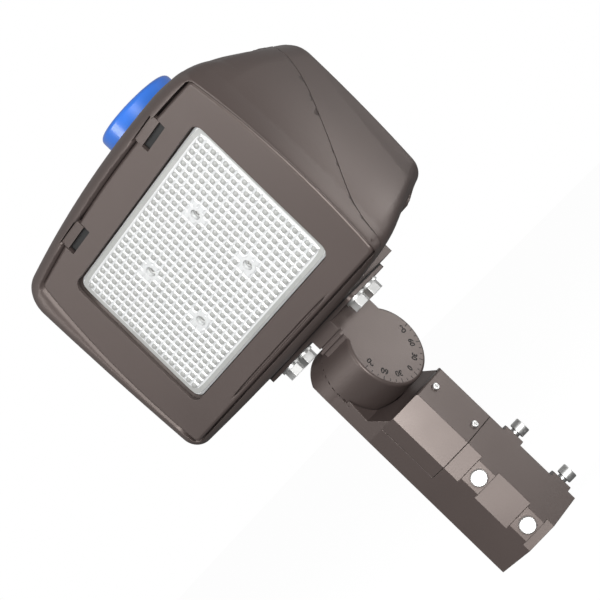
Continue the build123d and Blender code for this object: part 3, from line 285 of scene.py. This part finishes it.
opening = Outline((144.5, 235.7), (149.1, 312.0), (139.3, 415.8), 235.7, 423.3, 60.0, 44.0)
outlines = {}


def drawn_in(place):
    """Moves a point of the castings in towards the frame's edge, more and more towards +X."""
    x, y, z = (value / millimetre for value in place)
    if x <= blend_low_x:
        return place
    depth = min(max(y, rim_y), back_y)
    angle = math.atan2(z - centre_z, x)
    distance = math.hypot(z - centre_z, x)
    key = round(depth, 2)
    if key not in outlines:
        outlines[key] = (cad_outline(depth), wall_outline(depth))
    cad, wall = outlines[key]
    now, wanted = cad.reach(angle), wall.reach(angle)
    inner = min(max((y - rim_y - rim_depth) / anchor_depth, 0.0), 1.0)
    start = opening.reach(angle) + 0.3 - anchor_depth * inner * inner * (3 - 2 * inner)
    if distance <= start or wanted >= now or now <= start:
        return place
    ratio = max(wanted - start, 0.2) / (now - start)
    blend = min((x - blend_low_x) / (blend_high_x - blend_low_x), 1.0)
    moved = start + (distance - start) * ratio
    moved = distance + (moved - distance) * blend * blend * (3 - 2 * blend)
    return Vector((moved * math.cos(angle), y, centre_z + moved * math.sin(angle))) * millimetre


def drawn_in_casting(name, body="head"):
    """A node's form with that side drawn in, as the piece that stands for the node."""
    form = bmesh.new()
    form.from_mesh(nodes[name].data)
    bmesh.ops.remove_doubles(form, verts=form.verts, dist=1e-6)
    low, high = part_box(name)
    for axis, step in ((1, cut_step_y), (2, cut_step_z)):
        normal = Vector((0, 0, 0))
        normal[axis] = 1
        for k in range(int((high[axis] - low[axis]) / step)):
            cut = low[axis] + (k + 0.5) * step
            near_side = [f for f in form.faces if max(v.co.x for v in f.verts) > cut_low_x]
            edges = {e for f in near_side for e in f.edges}
            verts = {v for f in near_side for v in f.verts}
            plane = Vector((0, 0, 0))
            plane[axis] = cut
            bmesh.ops.bisect_plane(form, geom=[*verts, *edges, *near_side], plane_co=plane, plane_no=normal)
    for vertex in form.verts:
        vertex.co = drawn_in(vertex.co)
    bmesh.ops.recalc_face_normals(form, faces=form.faces)
    piece = add_piece(form, f"{name}_dressed", finishes[slots[name]], body, smooth=True)
    piece.data.set_sharp_from_angle(angle=sharp_angle)
    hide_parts(name)


for name in ("main_housing", "rear_cover", "rear_cover_gasket"):
    drawn_in_casting(name)
drawn_in_casting("frame_hinge_pins", "front_frame")


# The lens: the CAD plate in a pale clear moulding, and a small grey cap on each of its cells, painted shade
# standing for the darker middles of the clear domes
lens_low, lens_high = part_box("lens")
lens_centre_z = (lens_low.z + lens_high.z) / 2
dome_columns, dome_rows = 28, 19
dome_border, ring_reach = 0.0065, 0.0096
cell_x = (lens_high.x - lens_low.x - 2 * dome_border) / dome_columns
cell_z = (lens_high.z - lens_low.z - 2 * dome_border) / dome_rows
cap_x, cap_z, cap_rise = 0.0027, 0.00215, 0.0007
screw_places = [(x, z) for x in (-0.040, 0.040) for z in (0.299, 0.353)]


def clear_moulding(name, colour, low, high):
    """Pale clear plastic with a faint haze."""
    material, tree, shader = new_material(name)
    haze = noise(tree, 40, 2.0)
    tree.links.new(tinted(tree, haze, colour, 0.97, 1.03), shader.inputs["Base Color"])
    tree.links.new(spread(tree, haze, low, high), shader.inputs["Roughness"])
    shader.inputs["IOR"].default_value = 1.49
    bumped(tree, shader, ((haze, 0.02, 0.0002),), 0.0004)
    return material


lens_pale = clear_moulding("lens_moulding", (0.77, 0.78, 0.78), 0.24, 0.32)
# Painted shade: this grey on the caps and the band stands for the darker look of the clear domes and of the
# lens's border
lens_painted_shade = clear_moulding("lens_caps_painted_shade", (0.46, 0.465, 0.45), 0.24, 0.32)
for index in range(len(nodes["lens"].material_slots)):
    nodes["lens"].material_slots[index].material = lens_pale


def rounded_point(angle, half_x, half_z, shape=2.8):
    """A point of a rounded rectangle, as a superellipse."""
    c, s = math.cos(angle), math.sin(angle)
    power = 2 / shape
    return half_x * math.copysign(abs(c) ** power, c), half_z * math.copysign(abs(s) ** power, s)


form = bmesh.new()
cap_rings = ((1.0, -0.15), (0.93, 0.38), (0.72, 0.78), (0.38, 0.96))
cap_sides = 14
for column in range(dome_columns):
    for row in range(dome_rows):
        x = (column - (dome_columns - 1) / 2) * cell_x
        z = lens_centre_z + (row - (dome_rows - 1) / 2) * cell_z
        if min(math.hypot(x - sx, z - sz) for sx, sz in screw_places) < ring_reach:
            continue
        loops = []
        for size, rise in cap_rings:
            loop = []
            for k in range(cap_sides):
                px, pz = rounded_point(2 * math.pi * k / cap_sides, cap_x * size, cap_z * size)
                loop.append(form.verts.new((x + px, lens_low.y - cap_rise * rise, z + pz)))
            loops.append(loop)
        top = form.verts.new((x, lens_low.y - cap_rise, z))
        for low, high in zip(loops, loops[1:]):
            for k in range(cap_sides):
                following = (k + 1) % cap_sides
                form.faces.new((low[k], low[following], high[following], high[k]))
        for k in range(cap_sides):
            form.faces.new((loops[-1][k], loops[-1][(k + 1) % cap_sides], top))
        form.faces.new(loops[0][::-1])
bmesh.ops.recalc_face_normals(form, faces=form.faces)
add_piece(form, "lens_caps_painted_shade", lens_painted_shade, "head", smooth=True)

# Painted shade: a grey band between the lens's edge and its cells, standing for the shaded border of the
# clear plate
band_front_y = -0.04678
band_depth = 0.00012
band_outer_inset, band_inner_inset = 0.0014, 0.0050
band_sides, band_shape = 96, 22
form = bmesh.new()
band_loops = []
band_section = (
    (band_outer_inset, 0.0),
    (band_inner_inset, 0.0),
    (band_inner_inset, band_depth),
    (band_outer_inset, band_depth),
)
for inset, depth in band_section:
    half_x = (lens_high.x - lens_low.x) / 2 - inset
    half_z = (lens_high.z - lens_low.z) / 2 - inset
    loop = []
    for k in range(band_sides):
        px, pz = rounded_point(2 * math.pi * (k + 0.5) / band_sides, half_x, half_z, band_shape)
        loop.append(form.verts.new((px, band_front_y + depth, lens_centre_z + pz)))
    band_loops.append(loop)
for loop, following in zip(band_loops, band_loops[1:] + band_loops[:1]):
    for k in range(band_sides):
        after = (k + 1) % band_sides
        form.faces.new((loop[k], loop[after], following[after], following[k]))
bmesh.ops.recalc_face_normals(form, faces=form.faces)
add_piece(form, "lens_band", lens_painted_shade, "head")

# Painted shade: a thin black sheet in each latch slot under its pad, standing for the shadow in the slot
slot_half, slot_low_z, slot_high_z = 0.0155, 0.4098, 0.4162
slot_front_y, slot_depth = -0.0463, 0.00012
latch_x = 0.070
for body, middle in (("latch_left", -latch_x), ("latch_right", latch_x)):
    form = bmesh.new()
    bmesh.ops.create_cube(form, size=1)
    size = Vector((2 * slot_half, slot_depth, slot_high_z - slot_low_z))
    for vertex in form.verts:
        vertex.co = Vector(u * v for u, v in zip(vertex.co, size))
        vertex.co += Vector((middle, slot_front_y, (slot_low_z + slot_high_z) / 2))
    add_piece(form, f"{body}_slot_painted_shade", rubber, body)

# The scale on the joint's disc: plain angles, with a mark for every ten degrees; the engraved marks and
# figures are near black, painted shade standing for the shadow in their grooves
disc_face_x, scale_centre_z = 0.033, 0.1834
number_r, mark_low_r, mark_high_r = 0.0242, 0.0288, 0.0324
number_size, number_weight = 0.0066, 0.00020
mark_half, mark_height = 0.00028, 0.00006
# Painted shade: this near-black stands for the shadow inside the engraved marks and figures
mark_painted_shade = moulded("engraved_mark_painted_shade", (0.012, 0.010, 0.009), 0.6, 0.75, 0.05, 0.0001)


def scale_frame(angle, radius):
    """Matrix of a mark on the disc: its own Y points outward, its own Z out of the disc."""
    c, s = math.cos(angle), math.sin(angle)
    across, outward = Vector((0, s, -c)), Vector((0, c, s))
    place = Vector((disc_face_x, radius * c, scale_centre_z + radius * s))
    turn = Matrix((across, outward, Vector((1, 0, 0)))).transposed()
    return Matrix.Translation(place) @ turn.to_4x4()


form = bmesh.new()
for degrees in range(-180, 1, 10):
    length = 1.0 if degrees % 30 == 0 else 0.6
    frame_here = scale_frame(math.radians(degrees), (mark_low_r + mark_high_r) / 2)
    half = (mark_high_r - mark_low_r) / 2 * length
    corners = [(-mark_half, -half), (mark_half, -half), (mark_half, half), (-mark_half, half)]
    low = [form.verts.new(frame_here @ Vector((u, v, -mark_height))) for u, v in corners]
    high = [form.verts.new(frame_here @ Vector((u, v, mark_height))) for u, v in corners]
    form.faces.new(high)
    form.faces.new(low[::-1])
    for k in range(4):
        form.faces.new((low[k], low[(k + 1) % 4], high[(k + 1) % 4], high[k]))
add_piece(form, "scale_marks", mark_painted_shade, "head")

for degrees in range(-180, 1, 30):
    number = bpy.data.curves.new("scale_number", "FONT")
    number.body = str(abs(degrees + 90))
    number.size = number_size
    number.align_x = "CENTER"
    number.align_y = "CENTER"
    number.extrude = mark_height
    number.offset = number_weight
    number.materials.append(mark_painted_shade)
    label = bpy.data.objects.new(f"scale_number_{degrees + 180}", number)
    label.matrix_world = scale_frame(math.radians(degrees), number_r)
    scene.collection.objects.link(label)
    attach(label, "head")

# Floor, light and camera
floor_mesh = bpy.data.meshes.new("floor")
form = bmesh.new()
bmesh.ops.create_grid(form, x_segments=1, y_segments=1, size=6)
form.to_mesh(floor_mesh)
form.free()
floor = bpy.data.objects.new("floor", floor_mesh)
scene.collection.objects.link(floor)


def backdrop_share(tree, paths, glossy_share):
    """How much of the white backdrop a ray meets: all of it from the camera and through clear parts."""
    either = tree.nodes.new("ShaderNodeMath")
    either.operation = "MAXIMUM"
    tree.links.new(paths.outputs["Is Camera Ray"], either.inputs[0])
    tree.links.new(paths.outputs["Is Transmission Ray"], either.inputs[1])
    share = tree.nodes.new("ShaderNodeMath")
    share.operation = "MULTIPLY"
    share.inputs[1].default_value = glossy_share
    tree.links.new(paths.outputs["Is Glossy Ray"], share.inputs[0])
    most = tree.nodes.new("ShaderNodeMath")
    most.operation = "MAXIMUM"
    tree.links.new(either.outputs[0], most.inputs[0])
    tree.links.new(share.outputs[0], most.inputs[1])
    return most.outputs[0]


floor_material = bpy.data.materials.new("pale_floor")
floor_material.use_nodes = True
tree = floor_material.node_tree
tree.nodes.clear()
paths = tree.nodes.new("ShaderNodeLightPath")
matt = tree.nodes.new("ShaderNodeBsdfDiffuse")
matt.inputs["Color"].default_value = (0.10, 0.10, 0.10, 1)
glow = tree.nodes.new("ShaderNodeEmission")
glow.inputs["Color"].default_value = (1, 1, 1, 1)
glow.inputs["Strength"].default_value = 0.975
both = tree.nodes.new("ShaderNodeAddShader")
mix = tree.nodes.new("ShaderNodeMixShader")
output = tree.nodes.new("ShaderNodeOutputMaterial")
tree.links.new(matt.outputs[0], both.inputs[0])
tree.links.new(glow.outputs[0], both.inputs[1])
tree.links.new(backdrop_share(tree, paths, 0.15), mix.inputs[0])
tree.links.new(matt.outputs[0], mix.inputs[1])
tree.links.new(both.outputs[0], mix.inputs[2])
tree.links.new(mix.outputs[0], output.inputs["Surface"])
floor_mesh.materials.append(floor_material)

world = bpy.data.worlds.new("studio")
scene.world = world
world.use_nodes = True
tree = world.node_tree
tree.nodes.clear()
paths = tree.nodes.new("ShaderNodeLightPath")
soft = tree.nodes.new("ShaderNodeBackground")
soft.inputs["Color"].default_value = (1, 1, 1, 1)
soft.inputs["Strength"].default_value = 0.08
white = tree.nodes.new("ShaderNodeBackground")
white.inputs["Color"].default_value = (1, 1, 1, 1)
white.inputs["Strength"].default_value = 1.0
mix = tree.nodes.new("ShaderNodeMixShader")
output = tree.nodes.new("ShaderNodeOutputWorld")
tree.links.new(backdrop_share(tree, paths, 0.4), mix.inputs[0])
tree.links.new(soft.outputs[0], mix.inputs[1])
tree.links.new(white.outputs[0], mix.inputs[2])
tree.links.new(mix.outputs[0], output.inputs["Surface"])


lamp_target = Vector((0, 0, 0.28))


def area_light(name, azimuth, height, distance, size, power):
    """A soft square lamp round the object, in degrees, metres and watts."""
    data = bpy.data.lights.new(name, "AREA")
    data.shape = "SQUARE"
    data.size = size
    data.energy = power
    lamp = bpy.data.objects.new(name, data)
    turn, rise = math.radians(azimuth), math.radians(height)
    away = Vector((math.cos(turn) * math.cos(rise), math.sin(turn) * math.cos(rise), math.sin(rise)))
    lamp.location = lamp_target + distance * away
    lamp.rotation_euler = (-away).to_track_quat("-Z", "Y").to_euler()
    scene.collection.objects.link(lamp)


area_light("front", -44, -2, 1.8, 0.5, 34)
area_light("face", -116, 18, 1.3, 0.5, 6.6)
area_light("side", 45, -9, 1.5, 0.6, 10)
area_light("top", 0, 88, 1.7, 1.0, 1.5)

scene.view_settings.view_transform = "Standard"

# Camera, as fitted to the photograph's straight edges and circles
camera_data = bpy.data.cameras.new("camera")
camera_data.sensor_width = 36.0
camera_data.lens = 122.234
camera = bpy.data.objects.new("camera", camera_data)
right = Vector((0.4674889, 0.5147406, -0.7186767))
down = Vector((-0.5209012, -0.4964449, -0.6944094))
forward = Vector((-0.7142241, 0.6989883, 0.0360465))
turn = Matrix((right, -down, -forward)).transposed().to_4x4()
camera.matrix_world = Matrix.Translation((1.1224219, -1.0953702, 0.1988465)) @ turn
scene.collection.objects.link(camera)
scene.camera = camera
